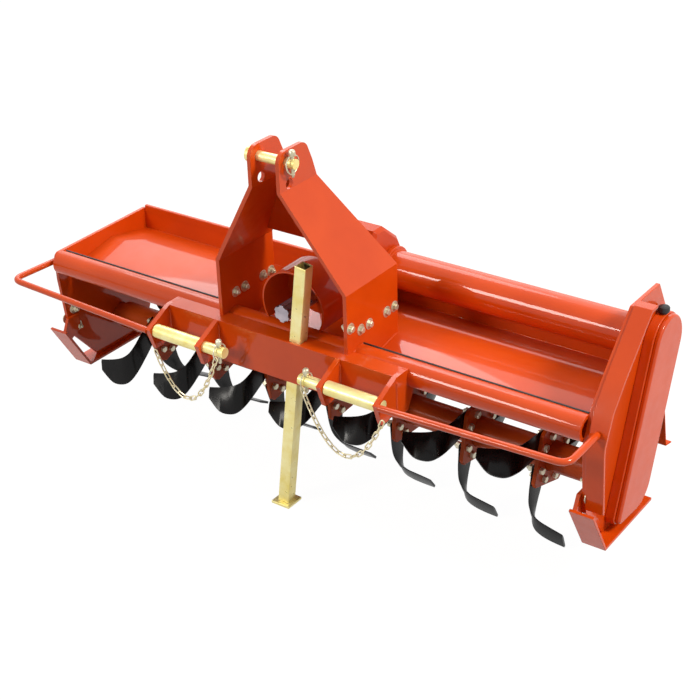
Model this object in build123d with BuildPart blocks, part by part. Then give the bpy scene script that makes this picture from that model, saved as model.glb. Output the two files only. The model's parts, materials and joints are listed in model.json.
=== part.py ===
from build123d import *
import os
from math import cos, radians, sin, sqrt, tan

# Three-point rotary tiller: a folded deck on a front tube, a mast of two bent plates, a gearbox
# with a drive tube to a chain case on the right, and a tined rotor under the deck.
# Millimetres. The origin is the centre of the PTO shaft's front end; +X runs along the machine to
# the chain case side, -Y points at the tractor, +Z up.

# ------------------------------------------------------------------ driving sizes
frame_width = 1250.0        # between the two side plates
seat_gap = 0.3              # between a round face and the face beside it

tube_od = 50.0              # front cross tube
tube_wall = 8.0
tube_y = 35.0
tube_z = -62.0

deck_ridge_y = 190.0        # folded sheet over the rotor, highest over its axis
deck_top = -62.0            # at the ridge
deck_front_z = -88.0
deck_rear_z = -82.0
deck_sheet = 4.0
deck_rear = 302.0           # inner face of the rear upstand
deck_wall_top = -41.0
deck_lip = 20.0             # fold down behind the front tube

plate = 8.0                 # side plate thickness
plate_front = 22.0          # front edge at the tube
plate_top = -38.0           # at its front corner
plate_rear_top = -34.0
plate_rear = 318.0
plate_bottom = -322.0

drive_y = 280.0             # drive tube axis, level with the PTO
drive_z = 0.0
drive_od = 76.0
drive_wall = 5.0
drive_flange_od = 92.0
drive_flange = 10.0

rotor_y = 193.0             # rotor axis
rotor_z = -252.0
tine_reach = 176.0          # tip radius
rotor_od = 60.0
rotor_shaft_od = 45.0
run_fit = 0.05              # radial clearance of a shaft in its bore
rotor_end_gap = 20.0        # rotor tube's end to the side plate
hub_od = 120.0
hub_depth = 26.0
hub_cap = 6.0
hub_collar = 12.0
hub_collar_od = 104.0

flange_count = 7
flange_pitch = 160.0
flange_thickness = 8.0
flange_corner = 74.0        # centre to corner
flange_side = 57.0          # centre to flat side
flange_turn = -17.8         # the right-hand flange's turn, in degrees
helix_step = -7.0           # turn from one flange to the next
tines_per_flange = 4
tine_root = 48.0            # root's bolts from the rotor axis

tine_thickness = 7.0
tine_lateral = 60.0         # sideways reach of the tip from the flange's middle
tine_bend = 25.0            # inside radius of the bend
tine_bend_sides = 4
tine_waist = 20.0           # shank width
tine_lag = 13.8             # the tip's lag behind straight down, in degrees
tine_rake = 36.9            # slant of the bend's line from the shank

case_inner = 19.0           # welded case against the side plate
case_cover = 10.0           # bolted cover on it
case_radius = 58.0
cover_margin = 6.0
side_flange = 35.0          # outward flange along the right plate's front edge
side_flange_sheet = 6.0
fin_top = 112.0             # right plate's raised top edge

channel_half = 275.0        # hitch channel in front of the tube
channel_front = -23.0
channel_sheet = 6.0
channel_top = -42.0
channel_bottom = -128.0

lug = 10.0                  # lower hitch lug plates
lug_outer = 275.0           # outer face of the outer lug
lug_inner = 150.0           # outer face of the inner lug
pin_y = -67.0
pin_z = -80.0
pin_od = 28.0
pin_neck_od = 22.0
pin_fit = 0.5

mast_plate = 8.0
mast_tab_corner = 22.0
mast_half = 153.0           # outer face at the foot
mast_tab_half = 36.0        # outer face at the top
mast_foot_top = 78.0
mast_tab_bottom = 263.0
mast_top = 338.0
mast_foot_front = -2.0
mast_foot_rear = 165.0
mast_tab_front = -30.0
mast_tab_rear = 80.0
brace_bottom = 95.0
brace_sheet = 8.0
brace_inset = 14.0
top_pin_y = -6.0
top_pin_z = 315.0
top_pin_od = 19.0

gear_half = 64.0            # gearbox half width
gear_corner = 7.0
gear_top = 98.0
gear_front = 196.0
gear_rear = 322.0
neck_od = 92.0
neck_face_od = 98.0
neck_front = 112.0
pto_od = 35.0
pto_splined = 74.0
pto_journal_od = 40.0
pto_journal = 28.0
guard_od = 146.0
guard_front = 34.0
guard_wall = 4.0
guard_low = -36.5           # open below, over the front tube

bar_od = 13.0               # guard bars
bar_x = frame_width / 2 + plate + 17
bar_corner = 24.0
bar_y = -82.0
bar_z = -62.0
bar_drop = 14.0             # from the corner in to the lug
bar_start = {-1: (frame_width / 2 + plate + bar_od / 2, 49.0), 1: (bar_x, 25.0)}

skid_width = 48.0
skid_out = 27.0             # past the side plate's outer face
skid_sheet = 6.0
skid_ramp_y = 14.0
skid_ramp_z = -220.0
skid_toe_y = 73.0
skid_rear = 262.0
strap = 8.0

leg = 25.0                  # parking stand
leg_wall = 3.0
leg_x = 34.5                # at the hitch channel's mid height
leg_lean = 7.5              # degrees, foot towards the left
leg_top = 205.0             # above that point, along the leg
leg_play = 1.0
foot_size = 44.0
foot_sheet = 6.0

linch_od = 8.0              # linch pins, rings and tether chains
linch_fit = 0.3
linch_height = 52.0
linch_ring = 19.0
linch_wire = 3.0
chain_wire = 2.4
chain_width = 10.4
chain_play = 1.7
chain_pitch = 15.9
chain_runs = [              # hand, first anchor, last anchor, sag
    ("left", (-102.5, -80, -89), (-270, -70, -125), 100),
    ("right", (102.5, -80, -89), (281, -78, -104), 110),
]

gate_sheet = 3.0            # rear gate
gate_pivot_y = 343.0
gate_pivot_z = -60.0
gate_pin_od = 12.0
gate_eye_od = 22.0
gate_low_y = 412.0
gate_low_z = -300.0
gate_side_gap = 6.0
gate_stop_y = 359.0         # where the gate comes to rest against its stops

# ------------------------------------------------------------------ worked-out places
half = frame_width / 2
tine_floor = rotor_z - tine_reach
plate_out = half + plate
case_out = plate_out + case_inner
channel_mid = (channel_top + channel_bottom) / 2
leg_y = channel_front + channel_sheet + leg_play + leg / 2
flange_x = [(i - (flange_count - 1) / 2) * flange_pitch for i in range(flange_count)]

os.makedirs("parts", exist_ok=True)


def keep(piece, name):
    piece.label = name
    export_step(piece, "parts/" + name + ".step")


def side_lower(front):
    """Lower outline of a side plate, from its front edge round to the rear."""
    return [(front, -100), (front + 14, -236), (front + 88, plate_bottom), (270, plate_bottom),
            (300, -250)]


# ------------------------------------------------------------------ front tube and deck
with BuildPart() as front_tube:
    with BuildSketch(Plane.YZ.offset(-half)):
        with Locations((tube_y, tube_z)):
            Circle(tube_od / 2)
            Circle(tube_od / 2 - tube_wall, mode=Mode.SUBTRACT)
    extrude(amount=frame_width)
keep(front_tube.part, "front_tube")

deck_front = tube_y + tube_od / 2 + seat_gap


def deck_z(y):
    """Height of the deck's upper face at a distance behind the hitch."""
    if y < deck_ridge_y:
        fall = (deck_top - deck_front_z) / (deck_ridge_y - deck_front)
    else:
        fall = (deck_rear_z - deck_top) / (deck_rear - deck_ridge_y)
    return deck_top + fall * (y - deck_ridge_y)


with BuildPart() as deck:
    with BuildSketch(Plane.YZ.offset(-half)):
        with BuildLine():
            Polyline(
                (deck_front, deck_front_z - deck_lip), (deck_front, deck_front_z),
                (deck_ridge_y, deck_top), (deck_rear, deck_rear_z), (deck_rear, deck_wall_top),
                (deck_rear + deck_sheet, deck_wall_top),
                (deck_rear + deck_sheet, deck_rear_z - deck_sheet),
                (deck_ridge_y, deck_top - deck_sheet),
                (deck_front + deck_sheet, deck_front_z - deck_sheet),
                (deck_front + deck_sheet, deck_front_z - deck_lip), close=True)
        make_face()
    extrude(amount=frame_width)
keep(deck.part, "deck")

# ------------------------------------------------------------------ side plates
hub_bore = rotor_shaft_od + 2 * run_fit
with BuildPart() as side_plate_left:
    with BuildSketch(Plane.YZ.offset(-plate_out)) as outline:
        with BuildLine():
            Polyline((plate_front, plate_top), *side_lower(plate_front),
                     (plate_rear, plate_rear_top), close=True)
        make_face()
        fillet(outline.vertices().sort_by(Axis.Y)[-2:], radius=14)
        with Locations((rotor_y, rotor_z)):
            Circle(hub_bore / 2 + 1, mode=Mode.SUBTRACT)
    extrude(amount=plate)
keep(side_plate_left.part, "side_plate_left")

fin_front = 177.0
fin_rear = 282.0
right_front = [(plate_front, -84), (46, -26), (86, 20), (fin_front, fin_top),
               (fin_rear, fin_top)]
with BuildPart() as side_plate_right:
    with BuildSketch(Plane.YZ.offset(half)):
        with BuildLine():
            Polyline(*reversed(side_lower(plate_front)), *right_front, (plate_rear, 52),
                     (plate_rear, plate_top), close=True)
        make_face()
        with Locations((rotor_y, rotor_z)):
            Circle(hub_bore / 2 + 1, mode=Mode.SUBTRACT)
        with Locations((drive_y, drive_z)):
            Circle(drive_od / 2 - drive_wall, mode=Mode.SUBTRACT)
    extrude(amount=plate)
keep(side_plate_right.part, "side_plate_right")

with BuildPart() as side_flange_right:
    with BuildSketch(Plane.YZ.offset(plate_out)):
        with BuildLine() as edge:
            Polyline((plate_front + 12, -225), (plate_front, -100), *right_front)
        trace(edge.line, line_width=side_flange_sheet)
    extrude(amount=side_flange)
keep(side_flange_right.part, "side_flange_right")


# ------------------------------------------------------------------ chain case
def case_outline(margin):
    """Slanted case: round round the drive shaft and round the rotor, square at its front foot."""
    with BuildSketch() as face:
        with BuildLine() as rim:
            CenterArc((drive_y, drive_z), case_radius - margin, 0, 360)
            CenterArc((rotor_y, rotor_z), case_radius - margin, 0, 360)
            CenterArc((rotor_y - 64, rotor_z - 40), 14 - margin, 0, 360)
        make_hull(rim.edges())
    return face.sketch


with BuildPart() as chain_case:
    with BuildSketch(Plane.YZ.offset(plate_out)):
        add(case_outline(0))
    extrude(amount=case_inner)
keep(chain_case.part, "chain_case")

with BuildPart() as chain_case_cover:
    with BuildSketch(Plane.YZ.offset(case_out)):
        add(case_outline(cover_margin / 2))
    extrude(amount=case_cover)
    chamfer(chain_case_cover.faces().sort_by(Axis.X)[-1].edges(), length=3)
keep(chain_case_cover.part, "chain_case_cover")

with BuildPart() as breather:
    with BuildSketch(Plane.XY.offset(drive_z + case_radius)):
        with Locations((plate_out + 12, drive_y)):
            Circle(6)
    extrude(amount=10)
    with BuildSketch(Plane.XY.offset(drive_z + case_radius + 9)):
        with Locations((plate_out + 12, drive_y)):
            RegularPolygon(10.5, 12)
    extrude(amount=14)
keep(breather.part, "breather")

# ------------------------------------------------------------------ gearbox and drive tube
with BuildPart() as gearbox:
    with BuildSketch(Plane.YZ.offset(-gear_half)) as body:
        with BuildLine():
            Polyline((gear_front, deck_z(gear_front)), (gear_front, 44),
                     (gear_front + 30, gear_top), (gear_front + 60, gear_top),
                     (gear_rear - 16, 58), (gear_rear, 26), (gear_rear, deck_wall_top + 4),
                     (deck_rear - 2, deck_wall_top + 4), (deck_rear - 2, deck_z(deck_rear - 2)),
                     close=True)
        make_face()
    extrude(amount=2 * gear_half)
    chamfer(gearbox.edges().filter_by(GeomType.LINE).filter_by_position(Axis.Z, 30, 200)
            .filter_by(Axis.X, reverse=True), length=gear_corner)
    with BuildSketch(Plane.XZ.offset(-gear_front)):
        Circle(neck_face_od / 2)
    extrude(amount=12)
    with BuildSketch(Plane.XZ.offset(-gear_front)):
        Circle(neck_od / 2)
    extrude(amount=gear_front - neck_front)
    with BuildSketch(Plane.XZ.offset(-neck_front)):
        Circle(pto_journal_od / 2 + run_fit)
    extrude(amount=-30, mode=Mode.SUBTRACT)
keep(gearbox.part, "gearbox")

with BuildPart() as gearbox_cap_left:
    with BuildSketch(Plane.YZ.offset(-gear_half - 14)):
        with Locations((drive_y, drive_z + 14)):
            Circle(44)
    extrude(amount=14)
keep(gearbox_cap_left.part, "gearbox_cap_left")

tube_start = gear_half
with BuildPart() as drive_tube:
    with BuildSketch(Plane.YZ.offset(tube_start)):
        with Locations((drive_y, drive_z)):
            Circle(drive_od / 2)
            Circle(drive_od / 2 - drive_wall, mode=Mode.SUBTRACT)
    extrude(amount=half - tube_start)
    for start in (tube_start, half - drive_flange):
        with BuildSketch(Plane.YZ.offset(start)):
            with Locations((drive_y, drive_z)):
                Circle(drive_flange_od / 2)
                Circle(drive_od / 2 - drive_wall, mode=Mode.SUBTRACT)
        extrude(amount=drive_flange)
keep(drive_tube.part, "drive_tube")

with BuildPart() as pto_guard:
    with BuildSketch(Plane.XZ.offset(-guard_front)):
        Circle(guard_od / 2)
        Circle(guard_od / 2 - guard_wall, mode=Mode.SUBTRACT)
    extrude(amount=-(neck_front + guard_wall - guard_front))
    with BuildSketch(Plane.XZ.offset(-neck_front)):
        Circle(guard_od / 2)
        Circle(neck_od / 2 + seat_gap, mode=Mode.SUBTRACT)
    extrude(amount=-guard_wall)
    with BuildSketch(Plane.XY.offset(guard_low)):
        with Locations((0, 100)):
            Rectangle(guard_od + 10, 200)
    extrude(amount=-guard_od, mode=Mode.SUBTRACT)
keep(pto_guard.part, "pto_guard")

with BuildPart() as pto_shaft:
    with BuildSketch(Plane.XZ):
        Circle(pto_od / 2)
    extrude(amount=-neck_front)
    with BuildSketch(Plane.XZ.offset(-neck_front)):
        Circle(pto_journal_od / 2)
    extrude(amount=-pto_journal)
    with BuildSketch(Plane.XZ):
        with PolarLocations(pto_od / 2, 6):
            Rectangle(5, 8)
    extrude(amount=-pto_splined, mode=Mode.SUBTRACT)
keep(pto_shaft.part, "pto_shaft")


# ------------------------------------------------------------------ mast
def mast_side(side):
    """One bent mast plate: upright foot, slanted middle, upright tab; side is -1 or 1."""
    slant = (mast_half - mast_tab_half) / (mast_tab_bottom - mast_foot_top)
    shift = mast_plate * (sqrt(1 + slant ** 2) - slant)
    with BuildPart() as bent:
        with BuildSketch(Plane.XZ.offset(-mast_foot_rear)):
            with BuildLine():
                Polyline(
                    (side * mast_half, deck_front_z), (side * mast_half, mast_foot_top),
                    (side * mast_tab_half, mast_tab_bottom), (side * mast_tab_half, mast_top),
                    (side * (mast_tab_half - mast_plate), mast_top),
                    (side * (mast_tab_half - mast_plate), mast_tab_bottom - mast_plate * 0.3),
                    (side * (mast_half - mast_plate), mast_foot_top - mast_plate * 0.3),
                    (side * (mast_half - mast_plate), deck_front_z), close=True)
            make_face()
        extrude(amount=mast_foot_rear - mast_tab_front)
        with BuildSketch(Plane.YZ.offset(-mast_half - 1)) as outline:
            with BuildLine():
                Polyline((mast_foot_front, channel_top), (mast_foot_front, mast_foot_top),
                         (mast_tab_front, mast_tab_bottom), (mast_tab_front, mast_top),
                         (mast_tab_rear - 30, mast_top), (mast_tab_rear - 12, mast_top - 40),
                         (mast_tab_rear, mast_tab_bottom),
                         (mast_foot_rear, mast_foot_top),
                         (mast_foot_rear, deck_z(mast_foot_rear)), (deck_front, deck_front_z),
                         (deck_front, tube_z), (tube_y, tube_z), (tube_y, channel_top),
                         close=True)
            make_face()
            fillet(outline.vertices().group_by(Axis.Y)[-1], radius=mast_tab_corner)
            with Locations((tube_y, tube_z)):
                Circle(tube_od / 2 + seat_gap, mode=Mode.SUBTRACT)
            with Locations((top_pin_y, top_pin_z), (top_pin_y + 4, top_pin_z - 42)):
                Circle(top_pin_od / 2 + pin_fit, mode=Mode.SUBTRACT)
        extrude(amount=2 * mast_half + 2, mode=Mode.INTERSECT)
    return bent.part


for side, hand in ((-1, "left"), (1, "right")):
    keep(mast_side(side), "mast_plate_" + hand)

mast_slope = (mast_half - mast_tab_half) / (mast_tab_bottom - mast_foot_top)


def mast_inside(height):
    """Half the gap between the mast plates at a height on their slanted part."""
    slant_wall = mast_plate * (1 + 0.3 * mast_slope)
    return mast_half - slant_wall - mast_slope * (height - mast_foot_top)


brace_run = (mast_foot_rear - mast_tab_rear) / (mast_tab_bottom - mast_foot_top)


def brace_y(height):
    return mast_foot_rear - brace_run * (height - mast_foot_top) - brace_inset


brace_top = mast_tab_bottom - 12
with BuildPart() as mast_brace:
    with BuildSketch(Plane.YZ.offset(-mast_half)):
        with BuildLine():
            Polyline((brace_y(brace_bottom), brace_bottom), (brace_y(brace_top), brace_top),
                     (brace_y(brace_top) - brace_sheet, brace_top),
                     (brace_y(brace_bottom) - brace_sheet, brace_bottom), close=True)
        make_face()
    extrude(amount=2 * mast_half)
    with BuildSketch(Plane.XZ.offset(-mast_foot_rear)):
        with BuildLine():
            Polyline((-mast_inside(brace_bottom), brace_bottom),
                     (mast_inside(brace_bottom), brace_bottom),
                     (mast_inside(brace_top), brace_top), (-mast_inside(brace_top), brace_top),
                     close=True)
        make_face()
    extrude(amount=mast_foot_rear, mode=Mode.INTERSECT)
keep(mast_brace.part, "mast_brace")

with BuildPart() as top_link_pin:
    with BuildSketch(Plane.YZ.offset(-mast_tab_half - 14)):
        with Locations((top_pin_y, top_pin_z)):
            Circle(top_pin_od / 2)
    extrude(amount=2 * mast_tab_half + 34)
    with BuildSketch(Plane.YZ.offset(-mast_tab_half - 14)):
        with Locations((top_pin_y, top_pin_z)):
            Circle(top_pin_od / 2 + 5)
    extrude(amount=8)
    with BuildSketch(Plane.XY.offset(top_pin_z - top_pin_od)):
        with Locations((mast_tab_half + 12, top_pin_y)):
            RegularPolygon(linch_od / 2 + linch_fit, 6)
    extrude(amount=2 * top_pin_od, mode=Mode.SUBTRACT)
keep(top_link_pin.part, "top_link_pin")

# ------------------------------------------------------------------ hitch channel, lugs and pins
with BuildPart() as hitch_channel:
    with BuildSketch(Plane.YZ.offset(-channel_half + lug)):
        with BuildLine():
            Polyline((channel_front, channel_bottom), (channel_front, channel_top),
                     (14, channel_top), (14, channel_top - channel_sheet),
                     (channel_front + channel_sheet, channel_top - channel_sheet),
                     (channel_front + channel_sheet, channel_bottom + channel_sheet),
                     (14, channel_bottom + channel_sheet), (14, channel_bottom), close=True)
        make_face()
    extrude(amount=2 * (channel_half - lug))
    lean_plane = Plane(origin=(leg_x, leg_y, channel_mid), x_dir=(cos(radians(leg_lean)), 0,
                       -sin(radians(leg_lean))), z_dir=(sin(radians(leg_lean)), 0,
                       cos(radians(leg_lean))))
    with BuildSketch(lean_plane.offset(-80)):
        Rectangle(leg + 2 * leg_play, leg + 2 * leg_play)
    extrude(amount=160, mode=Mode.SUBTRACT)
keep(hitch_channel.part, "hitch_channel")


def hitch_lug(outer_x, side, outboard):
    """A hitch lug plate; side is -1 or 1. An outboard lug closes the channel's end."""
    with BuildPart() as tab:
        with BuildSketch(Plane.YZ.offset(side * (outer_x - lug / 2) - lug / 2)) as outline:
            with BuildLine():
                Polyline((channel_front, channel_top), (pin_y - 20, pin_z + 8),
                         (pin_y - 4, pin_z - 38), (pin_y + 12, pin_z - 38),
                         (channel_front, channel_bottom + 18), close=True)
            make_face()
            if outboard:
                with BuildLine():
                    Polyline((channel_front, channel_top), (channel_front, channel_bottom),
                             (14, channel_bottom), (tube_y, tube_z - 26), (tube_y, tube_z + 10),
                             (14, channel_top), close=True)
                make_face()
                with Locations((tube_y, tube_z)):
                    Circle(tube_od / 2 + seat_gap, mode=Mode.SUBTRACT)
            with Locations((pin_y, pin_z)):
                Circle(pin_neck_od / 2 + pin_fit, mode=Mode.SUBTRACT)
        extrude(amount=lug)
    return tab.part


for side, hand in ((-1, "left"), (1, "right")):
    keep(hitch_lug(lug_outer, side, True), "hitch_lug_outer_" + hand)
    keep(hitch_lug(lug_inner, side, False), "hitch_lug_inner_" + hand)


linch_places = {"left": (-lug_inner + lug + 36, pin_y, pin_z),
                "right": (lug_inner - lug - 36, pin_y, pin_z),
                "top": (mast_tab_half + 12, top_pin_y, top_pin_z)}


def lower_pin(side):
    """Stepped lower link pin: neck through both lugs, thick sleeve between them."""
    linch_x = linch_places["left" if side < 0 else "right"][0]
    with BuildPart() as pin:
        inner_face = lug_inner
        outer_face = lug_outer - lug
        with BuildSketch(Plane.YZ.offset(side * (inner_face + outer_face) / 2
                                         - (outer_face - inner_face) / 2 + 1)):
            with Locations((pin_y, pin_z)):
                Circle(pin_od / 2)
        extrude(amount=outer_face - inner_face - 2)
        low, high = sorted((side * (lug_inner - lug - 50), side * lug_outer))
        with BuildSketch(Plane.YZ.offset(low)):
            with Locations((pin_y, pin_z)):
                Circle(pin_neck_od / 2)
        extrude(amount=high - low)
        with BuildSketch(Plane.XY.offset(pin_z - pin_neck_od)):
            with Locations((linch_x, pin_y)):
                RegularPolygon(linch_od / 2 + linch_fit, 6)
        extrude(amount=2 * pin_neck_od, mode=Mode.SUBTRACT)
    return pin.part


for side, hand in ((-1, "left"), (1, "right")):
    keep(lower_pin(side), "lower_link_pin_" + hand)


# ------------------------------------------------------------------ guard bars and skids
def guard(side):
    """Round bar from the side plate forward, round the corner and in to the outer lug."""
    start = Vector(side * bar_start[side][0], bar_start[side][1], bar_z)
    corner = Vector(side * bar_x, bar_y, bar_z)
    end = Vector(side * (lug_outer + seat_gap), bar_y, bar_z - bar_drop)
    into = (corner - start).normalized()
    away = (end - corner).normalized()
    with BuildPart() as bar:
        with BuildLine() as path:
            Polyline(start, corner - into * bar_corner, corner + away * bar_corner, end)
        with BuildSketch(Plane(origin=start, z_dir=into)):
            Circle(bar_od / 2)
        sweep(path=path.line, transition=Transition.RIGHT)
    return bar.part


for side, hand in ((-1, "left"), (1, "right")):
    keep(guard(side), "guard_bar_" + hand)


def skid(side):
    """Bent strip under a side plate: a raised toe and a flat sole, on two upright straps."""
    skid_outer = plate_out + skid_out
    skid_inner = skid_outer - skid_width
    with BuildPart() as shoe:
        with BuildSketch(Plane.YZ.offset(min(side * skid_inner, side * skid_outer))):
            with BuildLine():
                Polyline((skid_ramp_y, skid_ramp_z), (skid_toe_y, plate_bottom),
                         (skid_rear, plate_bottom), (skid_rear, plate_bottom - skid_sheet),
                         (skid_toe_y - 3, plate_bottom - skid_sheet),
                         (skid_ramp_y - 6, skid_ramp_z - 2), close=True)
            make_face()
        extrude(amount=skid_outer - skid_inner)
        with BuildSketch(Plane.YZ.offset(min(side * half, side * (half - strap)))):
            with BuildLine():
                Polyline((skid_ramp_y, skid_ramp_z), (skid_ramp_y + 12, skid_ramp_z + 26),
                         (skid_ramp_y + 46, skid_ramp_z + 26), (skid_ramp_y + 46, skid_ramp_z - 8),
                         (skid_ramp_y + 15, skid_ramp_z - 26), close=True)
            make_face()
            with Locations((skid_rear - 17, plate_bottom + 14)):
                Rectangle(34, 28)
        extrude(amount=strap)
    return shoe.part


for side, hand in ((-1, "left"), (1, "right")):
    keep(skid(side), "skid_" + hand)


# ------------------------------------------------------------------ rotor bearings
def bearing_hub(side):
    """Bearing housing on the rotor shaft: outside the left plate, inside the right one."""
    radius = hub_od / 2 if side < 0 else hub_collar_od / 2
    start = -plate_out if side < 0 else half
    with BuildPart() as hub:
        with BuildSketch(Plane.YZ.offset(start)):
            with Locations((rotor_y, rotor_z)):
                Circle(radius)
                Circle(hub_bore / 2, mode=Mode.SUBTRACT)
        extrude(amount=-(hub_depth if side < 0 else hub_collar))
        if side < 0:
            with BuildSketch(Plane.YZ.offset(start - hub_depth)):
                with Locations((rotor_y, rotor_z)):
                    Circle(radius - 14)
            extrude(amount=hub_cap)
    return hub.part


for side, hand in ((-1, "left"), (1, "right")):
    keep(bearing_hub(side), "bearing_hub_" + hand)

# ------------------------------------------------------------------ rotor
with BuildPart() as rotor_tube:
    with BuildSketch(Plane.YZ.offset(-half + rotor_end_gap)):
        with Locations((rotor_y, rotor_z)):
            Circle(rotor_od / 2)
    extrude(amount=frame_width - 2 * rotor_end_gap)
    with BuildSketch(Plane.YZ.offset(-plate_out - hub_depth + hub_cap + 1)):
        with Locations((rotor_y, rotor_z)):
            Circle(rotor_shaft_od / 2)
    extrude(amount=2 * plate_out + hub_depth - hub_cap - 1.5)
keep(rotor_tube.part, "rotor_tube")


def rotor_place(index, corner=0):
    """Where a flange, or what sits at one of its corners, is turned to on the rotor."""
    turned = (index - flange_count + 1) * helix_step + corner * 360 / tines_per_flange
    return Location((flange_x[index], rotor_y, rotor_z), (turned, 0, 0))


def flange_plate():
    """Square flange with its corners cut, round the rotor tube."""
    with BuildPart() as disc:
        with BuildSketch(Plane.YZ.offset(-flange_thickness / 2)):
            with Locations(Location((0, 0), flange_turn)):
                Rectangle(2 * flange_side, 2 * flange_side)
            with Locations(Location((0, 0), flange_turn + 45)):
                Rectangle(2 * flange_corner, 2 * flange_corner, mode=Mode.INTERSECT)
            RegularPolygon(rotor_od / 2 + seat_gap, 16, major_radius=False, mode=Mode.SUBTRACT)
        extrude(amount=flange_thickness)
    return disc.part


def tine_section(hand):
    """A tine's bend, seen along the bend's line: flat shank, bend in short flats, flat tip."""
    tip_y = -tine_reach * sin(radians(tine_lag))
    tip_z = -tine_reach * cos(radians(tine_lag))
    rake = radians(tine_rake)
    depth = tip_y * cos(rake) - tip_z * sin(rake)
    outer = tine_bend + tine_thickness
    near = -flange_thickness / 2 - (tine_thickness if hand > 0 else 0)
    steps = [radians(90 * step / tine_bend_sides) for step in range(tine_bend_sides + 1)]
    out_side = [(near + hand * outer * (1 - cos(a)), outer - depth - outer * sin(a))
                for a in steps]
    in_side = [(near + hand * (outer - tine_bend * cos(a)), outer - depth - tine_bend * sin(a))
               for a in reversed(steps)]
    tip = [(hand * tine_lateral, -depth), (hand * tine_lateral, tine_thickness - depth)]
    root = [(near + hand * tine_thickness, 150), (near, 150)]
    with BuildSketch() as section:
        Polygon(*(out_side + tip + in_side + root), align=None)
    return section.sketch


def tine_outline():
    """A tine's side view: two-bolt root, waisted shank and swept blade."""
    low_y = -tine_reach * sin(radians(tine_lag))
    low_z = -tine_reach * cos(radians(tine_lag))
    high_y = low_y + 38 * sin(radians(tine_rake))
    high_z = low_z + 38 * cos(radians(tine_rake))
    waist_z = -0.61 * tine_reach
    root = tine_root
    with BuildSketch() as face:
        with BuildLine():
            Polyline((-root + 7, -1), (-root - 11, -1), (-root - 13, -root + 4),
                     (-root - 4, waist_z - 4), (low_y, low_z), (high_y, high_z),
                     (-root - 2 + tine_waist, waist_z), (-7, -root - 15), (-2, -root + 3),
                     (-27, -29), close=True)
        make_face()
    return face.sketch


def tine(hand):
    """A tine as it hangs at the right-hand flange, its tip bent to hand (-1 left, 1 right)."""
    rake = radians(tine_rake)
    bend_plane = Plane(origin=(0, 0, 0), x_dir=(1, 0, 0), z_dir=(0, -sin(rake), -cos(rake)))
    with BuildPart() as blade:
        with BuildSketch(bend_plane.offset(-120)):
            add(tine_section(hand))
        extrude(amount=360)
        with BuildSketch(Plane.YZ.offset(-tine_lateral - 10)):
            add(tine_outline())
        extrude(amount=2 * tine_lateral + 20, mode=Mode.INTERSECT)
    return blade.part


flange_shape = flange_plate()
with BuildPart() as rotor_flanges:
    for index in range(flange_count):
        add(flange_shape.moved(rotor_place(index)))
keep(rotor_flanges.part, "rotor_flanges")

for hand, side_name in ((-1, "left"), (1, "right")):
    shape = tine(hand)
    with BuildPart() as tine_set:
        for index in range(flange_count):
            for corner in range(0 if hand > 0 else 1, tines_per_flange, 2):
                add(shape.moved(rotor_place(index, corner)))
    keep(tine_set.part, "tines_" + side_name)

# ------------------------------------------------------------------ parking stand
lean = radians(leg_lean)
leg_axis = (sin(lean), 0, cos(lean))
leg_plane = Plane(origin=(leg_x, leg_y, channel_mid), x_dir=(cos(lean), 0, -sin(lean)),
                  z_dir=leg_axis)
leg_low = (tine_floor + foot_sheet - channel_mid) / cos(lean)
with BuildPart() as stand_leg:
    with BuildSketch(leg_plane.offset(leg_top)):
        Rectangle(leg, leg)
        Rectangle(leg - 2 * leg_wall, leg - 2 * leg_wall, mode=Mode.SUBTRACT)
    extrude(amount=-(leg_top - leg_low + 10))
    with BuildSketch(Plane.XY.offset(tine_floor + foot_sheet)):
        Rectangle(300, 300)
    extrude(amount=-60, mode=Mode.SUBTRACT)
keep(stand_leg.part, "stand_leg")

foot_x = leg_x + (tine_floor - channel_mid) * tan(lean)
with BuildPart() as stand_foot:
    with BuildSketch(Plane.XY.offset(tine_floor)):
        with Locations((foot_x, leg_y)):
            Rectangle(foot_size, foot_size)
    extrude(amount=foot_sheet)
keep(stand_foot.part, "stand_foot")

# ------------------------------------------------------------------ rear gate
gate_half = half - gate_side_gap
gate_frame = [(-gate_half + 12, 60), (gate_half - 72, 60)]
gate_moving = [(-gate_half + 76, 70), (gate_half - 146, 70)]
with BuildPart() as gate_panel:
    with BuildSketch(Plane.YZ.offset(-gate_half)):
        with BuildLine() as fold:
            Polyline((gate_pivot_y + 14, gate_pivot_z - 18), (gate_low_y, gate_low_z),
                     (gate_low_y + 26, gate_low_z - 6))
        trace(fold.line, line_width=gate_sheet)
    extrude(amount=2 * gate_half)
    for start, length in gate_moving:
        with BuildSketch(Plane.YZ.offset(start)):
            with BuildLine() as arm:
                Polyline((gate_pivot_y, gate_pivot_z), (gate_pivot_y + 15, gate_pivot_z - 21))
            trace(arm.line, line_width=8)
            with Locations((gate_pivot_y, gate_pivot_z)):
                Circle(gate_eye_od / 2)
                Circle(gate_pin_od / 2 + run_fit, mode=Mode.SUBTRACT)
        extrude(amount=length)
keep(gate_panel.part, "gate_panel")

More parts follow.
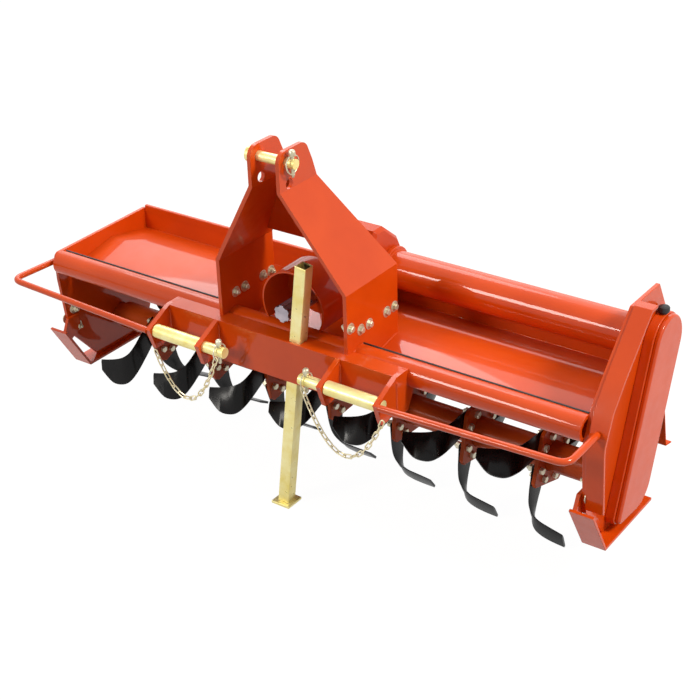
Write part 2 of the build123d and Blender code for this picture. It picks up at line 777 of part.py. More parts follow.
with BuildPart() as gate_hinge:
    for start, length in gate_frame:
        with BuildSketch(Plane.YZ.offset(start)):
            with BuildLine() as arm:
                Polyline((deck_rear + deck_sheet, gate_pivot_z), (gate_pivot_y, gate_pivot_z))
            trace(arm.line, line_width=gate_eye_od * 0.8)
            with Locations((gate_pivot_y, gate_pivot_z)):
                Circle(gate_eye_od / 2)
        extrude(amount=length)
    with BuildSketch(Plane.YZ.offset(-gate_half + 12)):
        with Locations((gate_pivot_y, gate_pivot_z)):
            Circle(gate_pin_od / 2)
    extrude(amount=2 * gate_half - 24)
    for start in (-gate_half + 36, gate_half - 48):
        with BuildSketch(Plane.YZ.offset(start)):
            with BuildLine():
                Polyline((deck_rear + deck_sheet, gate_pivot_z + 8), (gate_pivot_y, gate_pivot_z),
                         (gate_stop_y, gate_pivot_z - 34), (gate_stop_y - 16, gate_pivot_z - 34),
                         (deck_rear + deck_sheet, gate_pivot_z - 4), close=True)
            make_face()
        extrude(amount=12)
keep(gate_hinge.part, "gate_hinge")


# ------------------------------------------------------------------ linch pins and their chains
def linch(x, y, z, height):
    """A linch pin standing in a cross hole, with its spring ring folded round the pin's end."""
    with BuildPart() as clip:
        with BuildSketch(Plane.XY.offset(z - height / 2)):
            with Locations((x, y)):
                RegularPolygon(linch_od / 2, 6)
        extrude(amount=height)
        with BuildSketch(Plane(origin=(x, y, z - 2), x_dir=(0, 1, 0), z_dir=(1, 0, 0))):
            RegularPolygon(linch_ring, 12)
            RegularPolygon(linch_ring - linch_wire, 12, mode=Mode.SUBTRACT)
        extrude(amount=linch_wire / 2, both=True)
    return clip.part


with BuildPart() as linch_pins:
    for place in linch_places.values():
        add(linch(place[0], place[1], place[2], linch_height))
keep(linch_pins.part, "linch_pins")


def chain_points(start, end, sag):
    """Even points a link's pitch apart along a hanging chain between two anchors."""
    fine = []
    for step in range(2001):
        t = step / 2000
        drop = 4 * sag * t * (1 - t)
        fine.append((start[0] + (end[0] - start[0]) * t, start[1] + (end[1] - start[1]) * t,
                     start[2] + (end[2] - start[2]) * t - drop))
    lengths = [0.0]
    for before, after in zip(fine, fine[1:]):
        gap = sqrt(sum((b - a) ** 2 for a, b in zip(before, after)))
        lengths.append(lengths[-1] + gap)
    places = []
    count = round(lengths[-1] / chain_pitch)
    for number in range(count + 1):
        wanted = lengths[-1] * number / count
        spot = min(range(2001), key=lambda i: abs(lengths[i] - wanted))
        places.append(fine[spot])
    return places


def link_corners(span, width):
    """A link's outline: an oblong with its corners cut."""
    cut = width * 0.3
    quarter = [(span / 2, width / 2 - cut), (span / 2 - cut, width / 2)]
    right = quarter + [(-x, y) for x, y in reversed(quarter)]
    return right + [(-x, -y) for x, y in right]


def chain(start, end, sag):
    """Flat oval links along a hanging line, each turned a quarter from the last."""
    places = chain_points(start, end, sag)
    with BuildPart() as links:
        for number in range(len(places) - 1):
            low = Vector(*places[number])
            high = Vector(*places[number + 1])
            along = high - low
            side = along.cross(Vector(0, 1, 0)) if number % 2 else Vector(0, 1, 0)
            plane = Plane(origin=(low + high) * 0.5, x_dir=along, z_dir=side)
            with BuildSketch(plane):
                span = along.length + 2 * chain_wire + chain_play
                Polygon(*link_corners(span, chain_width), align=None)
                Polygon(*link_corners(span - 2 * chain_wire, chain_width - 2 * chain_wire),
                        align=None, mode=Mode.SUBTRACT)
            extrude(amount=chain_wire / 2, both=True)
    return links.part


for hand, start, end, sag in chain_runs:
    keep(chain(start, end, sag), "pin_chain_" + hand)
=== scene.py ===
import json
import math
import random

import bmesh
import bpy
from mathutils import Matrix, Vector


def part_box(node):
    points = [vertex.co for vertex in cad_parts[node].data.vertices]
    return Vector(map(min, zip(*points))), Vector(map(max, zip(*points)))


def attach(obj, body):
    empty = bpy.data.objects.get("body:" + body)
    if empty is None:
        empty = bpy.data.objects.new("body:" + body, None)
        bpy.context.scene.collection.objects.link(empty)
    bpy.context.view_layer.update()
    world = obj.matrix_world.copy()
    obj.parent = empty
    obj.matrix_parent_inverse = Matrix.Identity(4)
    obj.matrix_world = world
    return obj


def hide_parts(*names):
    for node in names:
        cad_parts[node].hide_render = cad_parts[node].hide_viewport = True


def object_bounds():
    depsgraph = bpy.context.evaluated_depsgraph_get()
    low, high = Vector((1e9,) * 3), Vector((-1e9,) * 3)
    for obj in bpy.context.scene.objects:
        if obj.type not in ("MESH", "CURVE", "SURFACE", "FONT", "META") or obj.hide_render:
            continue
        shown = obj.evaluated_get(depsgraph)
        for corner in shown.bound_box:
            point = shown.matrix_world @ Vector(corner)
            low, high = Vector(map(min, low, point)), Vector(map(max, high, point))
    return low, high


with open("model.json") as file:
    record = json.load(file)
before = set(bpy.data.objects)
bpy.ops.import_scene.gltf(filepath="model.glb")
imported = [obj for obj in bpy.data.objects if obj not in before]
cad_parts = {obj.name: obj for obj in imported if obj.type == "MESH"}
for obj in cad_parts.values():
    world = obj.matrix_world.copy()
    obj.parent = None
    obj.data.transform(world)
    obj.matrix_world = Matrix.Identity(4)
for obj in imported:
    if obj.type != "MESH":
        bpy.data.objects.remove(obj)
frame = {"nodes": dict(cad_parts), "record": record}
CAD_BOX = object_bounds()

random.seed(7)
BODY_OF = {node: body for body, nodes in frame["record"]["behaviour"]["bodies"].items()
           for node in nodes}
MM = 0.001
FULL_TURN = 2 * math.pi


# ---------------------------------------------------------------- materials
def srgb(r, g, b):
    """An sRGB colour, 0 to 255, as linear values and an alpha of 1."""
    def linear(v):
        v /= 255
        return v / 12.92 if v <= 0.04045 else ((v + 0.055) / 1.055) ** 2.4
    return (linear(r), linear(g), linear(b), 1.0)


class Nodes:
    """A node tree with short calls."""

    def __init__(self, tree):
        self.tree = tree

    def add(self, kind, **values):
        node = self.tree.nodes.new(kind)
        for key, value in values.items():
            if key in node.inputs:
                node.inputs[key].default_value = value
            else:
                setattr(node, key, value)
        return node

    def link(self, source, out, target, into):
        self.tree.links.new(source.outputs[out], target.inputs[into])

    def ramp(self, source, out, stops):
        """A colour ramp over a value, from (position, colour) stops."""
        node = self.add("ShaderNodeValToRGB")
        elements = node.color_ramp.elements
        while len(elements) < len(stops):
            elements.new(0.5)
        for element, (position, colour) in zip(elements, stops):
            element.position = position
            element.color = colour
        self.link(source, out, node, "Fac")
        return node

    def background_rays(self):
        """1 for what the camera sees directly, in a mirror or through glass, and 0 for light."""
        path = self.add("ShaderNodeLightPath")
        seen = self.add("ShaderNodeMath", operation="MAXIMUM")
        seen_through = self.add("ShaderNodeMath", operation="MAXIMUM")
        self.link(path, "Is Camera Ray", seen, 0)
        self.link(path, "Is Glossy Ray", seen, 1)
        self.link(seen, "Value", seen_through, 0)
        self.link(path, "Is Transmission Ray", seen_through, 1)
        return seen_through


class Material(Nodes):
    """A material with its Principled shader, and noises in the object's own coordinates."""

    def __init__(self, name):
        self.mat = bpy.data.materials.new(name)
        self.mat.use_nodes = True
        super().__init__(self.mat.node_tree)
        self.bsdf = self.tree.nodes["Principled BSDF"]

    def noise(self, scale, detail, roughness=0.55):
        node = self.add("ShaderNodeTexNoise", Scale=scale, Detail=detail, Roughness=roughness)
        self.link(self.add("ShaderNodeTexCoord"), "Object", node, "Vector")
        return node

    def fixed(self, **values):
        """Constants on the shader's own sockets."""
        for key, value in values.items():
            self.bsdf.inputs[key.replace("_", " ")].default_value = value


def surface(name, tone, stops, wear, roughness, relief, bump, **constants):
    """A material whose colour, roughness and bump each follow a noise.

    tone, wear and relief give the noises' scale, detail and, where it isn't the usual one,
    roughness. stops are the colours over the first noise, roughness the lowest and highest
    over the middle of the second, and bump the strength and distance of the third."""
    m = Material(name)
    m.link(m.ramp(m.noise(*tone), "Fac", stops), "Color", m.bsdf, "Base Color")
    spread = m.add("ShaderNodeMapRange")
    for key, value in (("From Min", 0.3), ("From Max", 0.7), ("To Min", roughness[0]),
                       ("To Max", roughness[1])):
        spread.inputs[key].default_value = value
    m.link(m.noise(*wear), "Fac", spread, "Value")
    m.link(spread, "Result", m.bsdf, "Roughness")
    raised = m.add("ShaderNodeBump", Strength=bump[0], Distance=bump[1])
    m.link(m.noise(*relief), "Fac", raised, "Height")
    m.link(raised, "Normal", m.bsdf, "Normal")
    m.fixed(**constants)
    return m.mat


def paint(name, colour, dark, roughness, coat, gloss):
    """Gloss paint: faint colour drift, orange peel, and a little dust in the roughness."""
    return surface(name, (7.0, 4.0), ((0.30, srgb(*dark)), (0.70, srgb(*colour))),
                   (38.0, 5.0), (roughness - 0.05, roughness + 0.08),
                   (240.0, 2.0), (0.05, 0.0005),
                   Coat_Weight=coat, Coat_Roughness=gloss, Coat_IOR=1.5,
                   Specular_IOR_Level=0.10)


def plated(name, bright, dull, roughness, metal):
    """Plated or turned metal: a drift between two tones, with a fine drawn grain."""
    return surface(name, (26.0, 5.0, 0.6), ((0.32, srgb(*dull)), (0.66, srgb(*bright))),
                   (90.0, 4.0), (roughness - 0.07, roughness + 0.10),
                   (420.0, 2.0), (0.10, 0.0003), Metallic=metal)


RED = paint("red_gloss", (210, 73, 6), (197, 64, 3), 0.42, 0.55, 0.05)
RED_CAST = paint("red_casting", (206, 68, 8), (184, 54, 5), 0.50, 0.3, 0.18)
# the rotor tube and flanges carry the frame's red paint; this browner, partly darker copy is
# painted shade for the rotor under the deck
RED_PAINTED_SHADE = paint("red_rotor_painted_shade", (206, 84, 22), (168, 62, 14), 0.50, 0.15, 0.20)
RED_GATE = paint("red_gate", (210, 73, 6), (197, 64, 3), 0.52, 0.0, 0.30)
ZINC = plated("yellow_zinc_plate", (252, 242, 180), (238, 218, 124), 0.34, 0.45)
BOLT = plated("zinc_fastener", (222, 218, 196), (186, 178, 146), 0.34, 0.6)
CHAIN = plated("zinc_chain", (246, 238, 206), (222, 208, 158), 0.33, 0.45)
# dipped black paint over a forged blade: satin, with a fine pitted scale
BLACK = surface("black_blade_paint", (30.0, 6.0, 0.6),
                ((0.30, srgb(6, 5, 5)), (0.72, srgb(14, 12, 12))),
                (60.0, 5.0), (0.22, 0.38), (150.0, 6.0, 0.7), (0.22, 0.0008),
                Coat_Weight=0.15, Coat_Roughness=0.16, Specular_IOR_Level=0.12)
PLASTIC = surface("black_moulding", (50.0, 3.0),
                  ((0.3, srgb(24, 24, 25)), (0.7, srgb(36, 36, 38))),
                  (80.0, 3.0), (0.42, 0.58), (600.0, 2.0), (0.12, 0.0002))
STEEL = plated("turned_steel", (190, 182, 192), (140, 132, 142), 0.32, 0.85)


# ---------------------------------------------------------------- mesh helpers
def piece(name, bm, material, body, smooth, bevel=0.0, stands_for=()):
    """A finished piece from a bmesh, riding on its body.

    smooth is the angle in degrees up to which edges are shaded round, and bevel is in mm."""
    bmesh.ops.recalc_face_normals(bm, faces=bm.faces)
    mesh = bpy.data.meshes.new(name)
    bm.to_mesh(mesh)
    bm.free()
    mesh.shade_smooth()
    mesh.set_sharp_from_angle(angle=math.radians(smooth))
    obj = bpy.data.objects.new(name, mesh)
    bpy.context.scene.collection.objects.link(obj)
    mesh.materials.append(material)
    if bevel:
        edge = obj.modifiers.new("edge", "BEVEL")
        edge.width = bevel * MM
        edge.segments = 2
        edge.limit_method = "ANGLE"
        edge.angle_limit = math.radians(30)
        edge.harden_normals = True
    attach(obj, body)
    if stands_for:
        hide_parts(*stands_for)


def skin(node, material, bevel, rear=None):
    """A CAD node's own form with eased edges, cut off behind the y in mm that rear gives."""
    source = bmesh.new()
    source.from_mesh(frame["nodes"][node].data)
    bmesh.ops.remove_doubles(source, verts=source.verts, dist=2e-6)
    bmesh.ops.dissolve_limit(source, angle_limit=math.radians(0.6), verts=source.verts,
                             edges=source.edges)
    if rear is not None:
        cut = bmesh.ops.bisect_plane(
            source, geom=source.verts[:] + source.edges[:] + source.faces[:],
            plane_co=(0, rear * MM, 0), plane_no=(0, 1, 0), clear_outer=True)
        rim = [e for e in cut["geom_cut"] if isinstance(e, bmesh.types.BMEdge)]
        bmesh.ops.holes_fill(source, edges=rim, sides=0)
    # only positions and faces go into the piece, without the CAD mesh's own normals
    bm = bmesh.new()
    places = [bm.verts.new(v.co) for v in source.verts]
    source.verts.index_update()
    for face in source.faces:
        bm.faces.new([places[v.index] for v in face.verts])
    source.free()
    piece(node + "_skin", bm, material, BODY_OF[node], 32.0, bevel, (node,))


def join_rings(bm, low, high):
    """A band of faces between two rings of as many points."""
    for i in range(len(low)):
        j = (i + 1) % len(low)
        bm.faces.new((low[i], low[j], high[j], high[i]))


def loft(bm, rings):
    """Bands through all the rings, with a face at each end."""
    for low, high in zip(rings, rings[1:]):
        join_rings(bm, low, high)
    bm.faces.new(rings[0][::-1])
    bm.faces.new(rings[-1])


def circle(radius, height, sides, turn=0.0):
    """Points in mm around Z."""
    angles = (FULL_TURN * i / sides + turn for i in range(sides))
    return [Vector((radius * math.cos(a), radius * math.sin(a), height)) for a in angles]


def lathe(bm, profile, place, sides, turn=0.0):
    """A closed turned form on a place's Z, from its (radius, height) profile in mm."""
    loft(bm, [[bm.verts.new(place @ (point * MM)) for point in circle(*row, sides, turn)]
              for row in profile])


def hexagon(bm, at, axis, flats, height, washer=True, stub=0.0, turn=0.3):
    """A hex head or nut standing on a face, in mm, with or without a washer and a thread end."""
    place = (Matrix.Translation(Vector(at) * MM)
             @ Vector(axis).normalized().to_track_quat("Z", "Y").to_matrix().to_4x4())
    radius = flats / math.sqrt(3)
    base = 0.0
    if washer:
        wide = flats * 1.02
        base = flats * 0.11
        lathe(bm, [(wide, 0), (wide, base * 0.7), (wide * 0.95, base)], place, 20)
    top = base + height
    lathe(bm, [(radius, base), (radius, top - radius * 0.16), (radius * 0.86, top)], place, 6,
          turn)
    if stub:
        thread = flats * 0.31
        lathe(bm, [(thread, top), (thread, top + stub * 0.8), (thread * 0.8, top + stub)],
              place, 12)


def rod(bm, points, radius, sides, closed=False, radii=None):
    """A round rod along points in mm, with a frame carried along so that it doesn't twist."""
    count = len(points)
    rings = []
    last = None
    for i, point in enumerate(points):
        before = points[i - 1] if (i or closed) else point
        after = points[(i + 1) % count] if (i < count - 1 or closed) else point
        along = (after - before).normalized()
        if last is None:
            side = along.orthogonal().normalized()
        else:
            side = (last - along * last.dot(along)).normalized()
        last = side
        up = along.cross(side)
        r = radii[i] if radii else radius
        rings.append([bm.verts.new((point + (side * math.cos(a) + up * math.sin(a)) * r) * MM)
                      for a in (FULL_TURN * k / sides for k in range(sides))])
    if not closed:
        loft(bm, rings)
        return
    for low, high in zip(rings, rings[1:]):
        join_rings(bm, low, high)
    # the last ring meets the first at its nearest turn
    shift = min(range(sides), key=lambda s: (rings[-1][0].co - rings[0][s].co).length)
    join_rings(bm, rings[-1], rings[0][shift:] + rings[0][:shift])


def rounded(points, reach, steps):
    """A line in mm whose inner corners are rounded from a reach before to a reach after."""
    line = [Vector(p) for p in points]
    out = [line[0]]
    for a, b, c in zip(line, line[1:], line[2:]):
        into = (b - a).normalized()
        away = (c - b).normalized()
        for k in range(steps + 1):
            t = k / steps
            out.append((b - into * reach) * (1 - t) ** 2 + b * 2 * t * (1 - t)
                       + (b + away * reach) * t ** 2)
    out.append(line[-1])
    return out


def bead(bm, start, end, radius):
    """A run of weld between two points in mm, rippled along its length."""
    a, b = Vector(start), Vector(end)
    count = max(4, int((b - a).length / 3.2) * 2)
    points = [a + (b - a) * (k / count) for k in range(count + 1)]
    radii = [radius * (1.0 if k % 2 else 0.80) * (0.95 + 0.1 * random.random())
             for k in range(count + 1)]
    radii[0] *= 0.4
    radii[-1] *= 0.4
    rod(bm, points, radius, 8, radii=radii)


# ---------------------------------------------------------------- CAD nodes with eased edges
FLANGE_REAR = 198.0      # the right side plate's flange ends at this y
EDGES = {  # node: material and width of its eased edges in mm
    "front_tube": (RED, 1.0), "deck": (RED, 0.9),
    "side_plate_left": (RED, 1.2), "side_plate_right": (RED, 1.2),
    "side_flange_right": (RED, 1.0),
    "chain_case": (RED, 2.0), "chain_case_cover": (RED, 2.0),
    "drive_tube": (RED, 1.5), "pto_guard": (RED, 0.8),
    "mast_plate_left": (RED, 1.2), "mast_plate_right": (RED, 1.2), "mast_brace": (RED, 1.2),
    "hitch_channel": (RED, 1.4),
    "hitch_lug_outer_left": (RED, 1.2), "hitch_lug_outer_right": (RED, 1.2),
    "hitch_lug_inner_left": (RED, 1.2), "hitch_lug_inner_right": (RED, 1.2),
    "skid_left": (RED, 1.2), "skid_right": (RED, 1.2),
    "bearing_hub_left": (RED, 2.5), "bearing_hub_right": (RED, 1.0),
    "gate_hinge": (RED, 0.8), "gate_panel": (RED_GATE, 0.8),
    "gearbox": (RED_CAST, 4.0), "gearbox_cap_left": (RED_CAST, 3.0),
    "rotor_tube": (RED_PAINTED_SHADE, 1.0), "rotor_flanges": (RED_PAINTED_SHADE, 1.0),
    "stand_leg": (ZINC, 2.2), "stand_foot": (ZINC, 1.5),
    "lower_link_pin_left": (ZINC, 1.2), "lower_link_pin_right": (ZINC, 1.2),
    "top_link_pin": (ZINC, 1.2), "pto_shaft": (STEEL, 0.8)}
for node, (material, edge) in EDGES.items():
    skin(node, material, edge, FLANGE_REAR if node == "side_flange_right" else None)


# ---------------------------------------------------------------- rotor: blades and their bolts
ROTOR_Y, ROTOR_Z = 193, -252
FLANGE_X = [(i - 3) * 160.0 for i in range(7)]
HELIX = -7.0             # turn in degrees from one flange to the next
BLADE_X = -7.5           # the blades' middle plane, beside their flange
BLADE_THICK = 7.0
TAPER_RING, TAPER = 10, 0.25   # from this ring to the tip, a blade loses this share
BOLT_CIRCLE = 48.0
BOLT_TURN, BOLT_SPREAD = -17.8 - 45, 17   # a corner's two bolts, in degrees
BLADE_SECTION = (  # share of the width from the leading edge, share of the thickness
    (0.0, 0.14), (0.24, 0.5), (0.97, 0.5), (1.0, 0.3),
    (1.0, -0.3), (0.97, -0.5), (0.24, -0.5), (0.0, -0.14))
# from root to tip, in mm from the rotor's axis with the blade hanging down:
# leading edge's sideways sweep, y and z; trailing edge's sideways sweep, y and z
BLADE_RIGHT = (
    (0, -60, -1, 0, -40, -1),
    (0, -64, -24, 0, -26, -28),
    (0, -68, -50, 0, -24, -54),
    (1, -69, -77, 0, -38, -84),
    (8, -67, -98, 0, -48, -115),
    (21, -63, -111, 4, -48, -140),
    (36, -58, -120, 18, -43, -156),
    (51, -54, -127, 40, -38, -165.5),
    (65, -51, -133, 63, -34, -171))
BLADE_LEFT = (  # broader, with a slanted tip
    (0, -60, -1, 0, -40, -1),
    (0, -64, -24, 0, -26, -28),
    (0, -68, -50, 0, -20, -54),
    (1, -69, -77, -2, -22, -88),
    (8, -67, -98, -4, -26, -122),
    (24, -63, -111, -2, -30, -146),
    (43, -59, -118, 12, -30, -159),
    (62, -56, -123, 38, -34, -163),
    (80, -54, -127, 71, -45, -148))


def rotor_place(index, corner):
    """From a blade's own place, hanging under the axis, to a corner of a flange, in mm."""
    turned = math.radians((index - 6) * HELIX + corner * 90)
    return (Matrix.Translation(Vector((FLANGE_X[index], ROTOR_Y, ROTOR_Z)))
            @ Matrix.Rotation(turned, 4, "X"))


def through(rows, steps):
    """Rows of numbers joined by smooth curves through all of them."""
    out = []
    last = len(rows) - 1
    for i in range(last):
        near = (rows[max(i - 1, 0)], rows[i], rows[i + 1], rows[min(i + 2, last)])
        for k in range(steps):
            t = k / steps
            out.append([0.5 * (2 * b + (c - a) * t + (2 * a - 5 * b + 4 * c - d) * t * t
                               + (3 * b - a - 3 * c + d) * t ** 3)
                        for a, b, c, d in zip(*near)])
    out.append(list(rows[last]))
    return out


def blade(bm, rows, hand, place):
    """One sickle blade: flat at its flange, swept sideways to its tip, its leading edge thin."""
    rows = through(rows, 4)
    front = [Vector((BLADE_X + hand * row[0], row[1], row[2])) for row in rows]
    back = [Vector((BLADE_X + hand * row[3], row[4], row[5])) for row in rows]
    middle = [(a + b) / 2 for a, b in zip(front, back)]
    last = len(rows) - 1
    rings = []
    for i in range(len(rows)):
        along = middle[min(i + 1, last)] - middle[max(i - 1, 0)]
        width = back[i] - front[i]
        normal = along.cross(width).normalized()
        thick = BLADE_THICK * (1 - TAPER * max(0, i - TAPER_RING) / (last - TAPER_RING))
        ring = [front[i] + width * part + normal * thick * half
                for part, half in BLADE_SECTION]
        rings.append([bm.verts.new(place @ point * MM) for point in ring])
    loft(bm, rings)


for name, hand, rows, corners in (("left", -1, BLADE_LEFT, (1, 3)),
                                  ("right", 1, BLADE_RIGHT, (0, 2))):
    bm = bmesh.new()
    for index in range(len(FLANGE_X)):
        for corner in corners:
            blade(bm, rows, hand, rotor_place(index, corner))
    piece("blades_" + name, bm, BLACK, "rotor", 40.0, stands_for=("tines_" + name,))

bm = bmesh.new()
for index in range(len(FLANGE_X)):
    for corner in range(4):
        place = rotor_place(index, corner)
        for side in (-1, 1):
            a = math.radians(BOLT_TURN + side * BOLT_SPREAD)
            y, z = BOLT_CIRCLE * math.sin(a), -BOLT_CIRCLE * math.cos(a)
            hexagon(bm, place @ Vector((4, y, z)), (1, 0, 0), 13, 7, False, 0,
                    random.random())
            hexagon(bm, place @ Vector((-11, y, z)), (-1, 0, 0), 13, 10, False, 4,
                    random.random())
piece("blade_bolts", bm, BOLT, "rotor", 30.0)


# ---------------------------------------------------------------- guard bars, rounded
BAR_RADIUS, BAR_BEND = 6.5, 24
GUARD_BARS = (((-639.5, 49, -62), (-650, -82, -62), (-275.3, -82, -76)),
              ((650, 25, -62), (650, -82, -62), (275.3, -82, -76)))
bm = bmesh.new()
for corners in GUARD_BARS:
    rod(bm, rounded(corners, BAR_BEND, 10), BAR_RADIUS, 20)
piece("guard_bars", bm, RED, "frame", 40.0, stands_for=("guard_bar_left", "guard_bar_right"))


# ---------------------------------------------------------------- pin chains
LINK_PITCH = 15.9
LINK_WIRE = 1.35         # radius
LINK_BOW = 4.0           # radius of a link's ends
LINK_OVER = 1.8          # how far a link's middle line reaches past its half pitch
LINK_STEPS, CURVE_STEPS = 18, 1000
CHAINS = (  # name, start, end, sag below the straight line
    ("left", (-102.5, -80, -89), (-270, -70, -125), 100),
    ("right", (102.5, -80, -89), (281, -78, -104), 110))


def sagging(start, end, sag):
    """Points a link's pitch apart on a parabola from start to end."""
    curve = []
    for step in range(CURVE_STEPS + 1):
        t = step / CURVE_STEPS
        point = Vector(start).lerp(Vector(end), t)
        point.z -= 4 * sag * t * (1 - t)
        curve.append(point)
    total = [0.0]
    for a, b in zip(curve, curve[1:]):
        total.append(total[-1] + (b - a).length)
    count = round(total[-1] / LINK_PITCH)
    return [curve[min(range(CURVE_STEPS + 1),
                      key=lambda i: abs(total[i] - total[-1] * n / count))]
            for n in range(count + 1)]


for name, start, end, sag in CHAINS:
    bm = bmesh.new()
    places = sagging(start, end, sag)
    for number, (a, b) in enumerate(zip(places, places[1:])):
        along = (b - a).normalized()
        normal = Vector((0, 1, 0))
        if number % 2:
            normal = along.cross(normal).normalized()
        wide = normal.cross(along).normalized()
        straight = (b - a).length / 2 + LINK_OVER - LINK_BOW
        line = []
        for k in range(LINK_STEPS):
            t = FULL_TURN * k / LINK_STEPS
            x = math.copysign(straight, math.cos(t)) + LINK_BOW * math.cos(t)
            line.append((a + b) / 2 + along * x + wide * LINK_BOW * math.sin(t))
        rod(bm, line, LINK_WIRE, 7, closed=True)
    piece("chain_" + name, bm, CHAIN, "frame", 50.0, stands_for=("pin_chain_" + name,))


# ---------------------------------------------------------------- linch pins
LINCH_PINS = ((-104, -67, -80), (104, -67, -80), (48, -6, 315))   # where they cross their pin
LINCH_DROP = 26          # of a linch pin's tip below that
LINCH_PROFILE = ((2.2, 0), (3.8, 4), (4.0, 6), (4.0, 40), (6.2, 41), (6.6, 45), (6.0, 50),
                 (3.5, 52))
RING_RADIUS, RING_WAVE, RING_STEPS = 17.4, 1.2, 28
bm = bmesh.new()
for x, y, z in LINCH_PINS:
    lathe(bm, LINCH_PROFILE, Matrix.Translation(Vector((x, y, z - LINCH_DROP)) * MM), 14)
    ring = []
    for k in range(RING_STEPS):
        t = FULL_TURN * k / RING_STEPS
        ring.append(Vector((x + RING_WAVE * math.sin(2 * t), y + RING_RADIUS * math.cos(t),
                            z - 2 + RING_RADIUS * math.sin(t))))
    rod(bm, ring, 1.5, 8, closed=True)
piece("linch_clips", bm, BOLT, "frame", 45.0, stands_for=("linch_pins",))


# ---------------------------------------------------------------- bolts, nuts and welds
MAST_OUT, MAST_IN = 153, 145     # the mast plates' faces
MAST_BOLTS = ((9, 8), (41, -8), (69, -8), (127, -8), (153, -8))   # y, z
MAST_FREE_Y = 20         # the left mast plate has no bolt in front of this
PLATE_IN = 625           # the side plates' inner faces
PLATE_OUT = 633
SKID_NUTS = ((53, -181), (58, -225))
SKID_BOLTS = ((37, -201), (70, -229))
bm = bmesh.new()
for y, z in MAST_BOLTS:
    for side in (-1, 1):
        if side < 0 and y < MAST_FREE_Y:
            continue
        hexagon(bm, (side * MAST_OUT, y, z), (side, 0, 0), 11, 6, True, 0, random.random())
        hexagon(bm, (side * MAST_IN, y, z), (-side, 0, 0), 11, 7, True, 3, random.random())
for side in (-1, 1):
    for y, z in SKID_NUTS:
        hexagon(bm, (side * PLATE_IN, y, z), (-side, 0, 0), 12, 8, True, 5, random.random())
for y, z in SKID_BOLTS:
    for side in (1, -1):
        hexagon(bm, (side * PLATE_OUT, y, z), (side, 0, 0), 12, 7, True, 0, random.random())
piece("frame_bolts", bm, BOLT, "frame", 30.0)

bm = bmesh.new()
for count, x, y, z, reach, height, washer in (
        (8, -78, 280, 14, 36, 5, True),          # gearbox cap
        (6, -659, 193, -252, 53, 1.0, False)):   # left rotor hub
    for k in range(count):
        a = FULL_TURN * (k + 0.5) / count
        hexagon(bm, (x, y + reach * math.cos(a), z + reach * math.sin(a)), (-1, 0, 0), 10,
                height, washer)
piece("case_bolts", bm, BOLT, "frame", 30.0)

bm = bmesh.new()
for side in (-1, 1):
    for face in (140, 150, 265, 275):            # the hitch lugs' sides
        bead(bm, (side * face, -23.5, -52), (side * face, -23.5, -120), 2.4)
    for start, end in (((64, -85), (160, -68)), ((12, -44), (46, -39))):   # under the mast
        bead(bm, (side * 154, *start), (side * 154, *end), 2.6)
piece("weld_beads", bm, RED, "frame", 60.0)


# ---------------------------------------------------------------- painted shadow: black strip behind the front tube
bm = bmesh.new()
for ends in ((-621, -150), (150, 621)):
    # a thin black rod along the tube's rear shoulder, standing in for the shadow in the gap
    # between tube and deck
    rod(bm, [Vector((x, 50.4, -40.6)) for x in ends], 1.9, 10)
piece("tube_shadow_line", bm, PLASTIC, "frame", 40.0)


# ---------------------------------------------------------------- lip behind the deck
LIP_ENDS = (-623, -80)
LIP_SECTION = ((302.0, -44), (302.0, -28.5), (303.0, -27), (309, -27), (309, -30), (306, -30),
               (306, -44))
bm = bmesh.new()
loft(bm, [[bm.verts.new(Vector((x, y, z)) * MM) for y, z in LIP_SECTION] for x in LIP_ENDS])
piece("rear_lip", bm, RED, "frame", 32.0, 0.6)


# ---------------------------------------------------------------- breather's ribbed cap
CAP_PROFILE = ((7.0, 0), (7.0, 3.0), (10.0, 3.4), (10.4, 5.0), (10.4, 11.0), (9.6, 13.0),
               (7.0, 13.8))
CAP_RIBS, RIB_REACH, RIB_RADIUS, RIB_LOW, RIB_HIGH = 14, 10.2, 0.4, 4.5, 11.5
low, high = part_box("breather")
foot = Vector(((low.x + high.x) / 2, (low.y + high.y) / 2, low.z))
bm = bmesh.new()
lathe(bm, CAP_PROFILE, Matrix.Translation(foot), 28)
for bottom, top in zip(circle(RIB_REACH, RIB_LOW, CAP_RIBS),
                       circle(RIB_REACH, RIB_HIGH, CAP_RIBS)):
    rod(bm, [foot / MM + bottom, foot / MM + top], RIB_RADIUS, 6)
piece("breather_cap", bm, PLASTIC, "frame", 40.0, stands_for=("breather",))


# ---------------------------------------------------------------- floor
FLOOR_HALF = 14
FLOOR_GAP = 0.0005       # under the lowest point of the part
FLOOR_COLOUR = (0.30, 0.26, 0.21, 1)
FLOOR_GLOW, GLOW_SHARE = 1.25, 0.78
bm = bmesh.new()
bmesh.ops.create_grid(bm, x_segments=1, y_segments=1, size=FLOOR_HALF)
floor_mesh = bpy.data.meshes.new("floor")
bm.to_mesh(floor_mesh)
bm.free()
floor = bpy.data.objects.new("floor", floor_mesh)
floor.location = (0, 0, CAD_BOX[0][2] - FLOOR_GAP)
bpy.context.scene.collection.objects.link(floor)

# it shows as white and keeps the part's shadow, but lights the part as a dull floor
ground = Material("white_floor")
ground.fixed(Base_Color=FLOOR_COLOUR, Roughness=0.9, Specular_IOR_Level=0.0)
glow = ground.add("ShaderNodeEmission", Color=(1, 1, 1, 1), Strength=FLOOR_GLOW)
share = ground.add("ShaderNodeMath", operation="MULTIPLY")
share.inputs[1].default_value = GLOW_SHARE
ground.link(ground.background_rays(), "Value", share, 0)
mixed = ground.add("ShaderNodeMixShader")
ground.link(share, "Value", mixed, 0)
ground.link(ground.bsdf, "BSDF", mixed, 1)
ground.link(glow, "Emission", mixed, 2)
ground.link(mixed, "Shader", ground.tree.nodes["Material Output"], "Surface")
floor_mesh.materials.append(ground.mat)


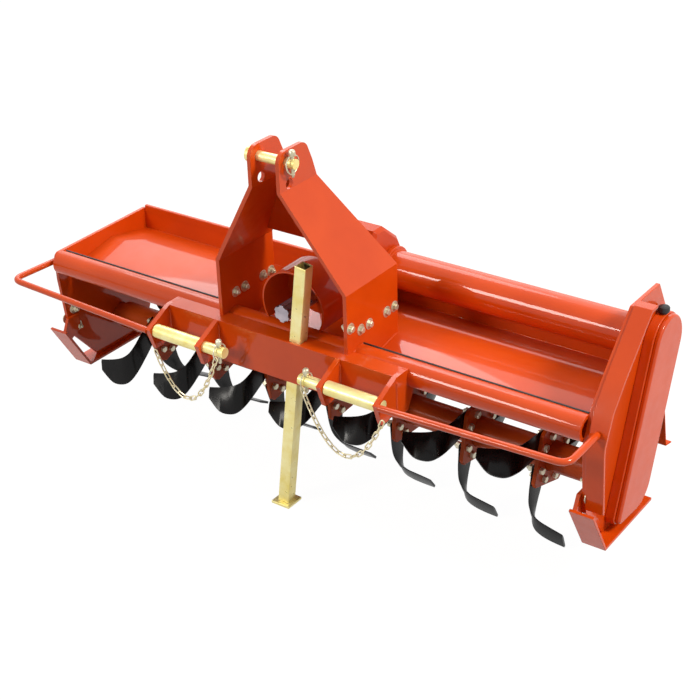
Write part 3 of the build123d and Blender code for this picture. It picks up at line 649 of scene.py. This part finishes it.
# ---------------------------------------------------------------- world
# it shows as white, and lights the part with a dark ground that clears to a pale sky
SKY_AXIS = (0.25, 0.55, 0.80)
GROUND_STOP = (0.27, (0.03, 0.026, 0.022, 1))
SKY_STOP = (0.88, (0.72, 0.81, 0.94, 1))
world = bpy.data.worlds.new("studio")
bpy.context.scene.world = world
world.use_nodes = True
world.node_tree.nodes.clear()
sky = Nodes(world.node_tree)
height = sky.add("ShaderNodeVectorMath", operation="DOT_PRODUCT")
height.inputs[1].default_value = Vector(SKY_AXIS).normalized()
sky.link(sky.add("ShaderNodeTexCoord"), "Generated", height, 0)
half = sky.add("ShaderNodeMath", operation="MULTIPLY_ADD")   # from -1...1 to 0...1
half.inputs[1].default_value = 0.5
half.inputs[2].default_value = 0.5
sky.link(height, "Value", half, 0)
light = sky.add("ShaderNodeBackground")
sky.link(sky.ramp(half, "Value", (GROUND_STOP, SKY_STOP)), "Color", light, "Color")
white = sky.add("ShaderNodeBackground", Color=(1, 1, 1, 1))
pick = sky.add("ShaderNodeMixShader")
sky.link(sky.background_rays(), "Value", pick, 0)
sky.link(light, "Background", pick, 1)
sky.link(white, "Background", pick, 2)
sky.link(pick, "Shader", sky.add("ShaderNodeOutputWorld"), "Surface")


# ---------------------------------------------------------------- lamps and camera
LAMPS = (  # name, place, what it looks at, size, power, colour
    ("key", (3.4, 0.4, 3.0), (0, 0.1, -0.1), 1.0, 160, (1.0, 0.93, 0.82)),
    ("sky", (-2.1, 3.1, 2.3), (0, 0.1, -0.1), 4.4, 52, (0.97, 0.98, 1.0)),
    ("upper_sky", (-2.06, 2.04, 2.75), (0, 0.12, -0.08), 2.0, 42, (0.98, 0.99, 1.0)),
    ("front", (-1.6, -3.4, 1.9), (0, 0.1, -0.1), 1.2, 78, (1.0, 0.96, 0.90)))
for name, place, aim, size, power, colour in LAMPS:
    data = bpy.data.lights.new(name, "AREA")
    data.shape = "DISK"
    data.size = size
    data.energy = power
    data.color = colour
    lamp = bpy.data.objects.new(name, data)
    lamp.location = place
    lamp.rotation_euler = (Vector(aim) - Vector(place)).to_track_quat("-Z", "Y").to_euler()
    bpy.context.scene.collection.objects.link(lamp)

# fitted to the photograph: its place, and its own right, up and back
CAMERA_PLACE = (1.5530, -1.9236, 1.2740)
CAMERA_AXES = ((0.8175, 0.5754, -0.0265), (-0.2581, 0.4070, 0.8761),
               (0.5148, -0.7094, 0.4813))
camera_data = bpy.data.cameras.new("camera")
camera_data.lens = 75.69
camera_data.sensor_width = 36
camera = bpy.data.objects.new("camera", camera_data)
camera.matrix_world = (Matrix.Translation(CAMERA_PLACE)
                       @ Matrix(CAMERA_AXES).transposed().to_4x4())
bpy.context.scene.collection.objects.link(camera)
bpy.context.scene.camera = camera
bpy.context.scene.view_settings.view_transform = "Standard"
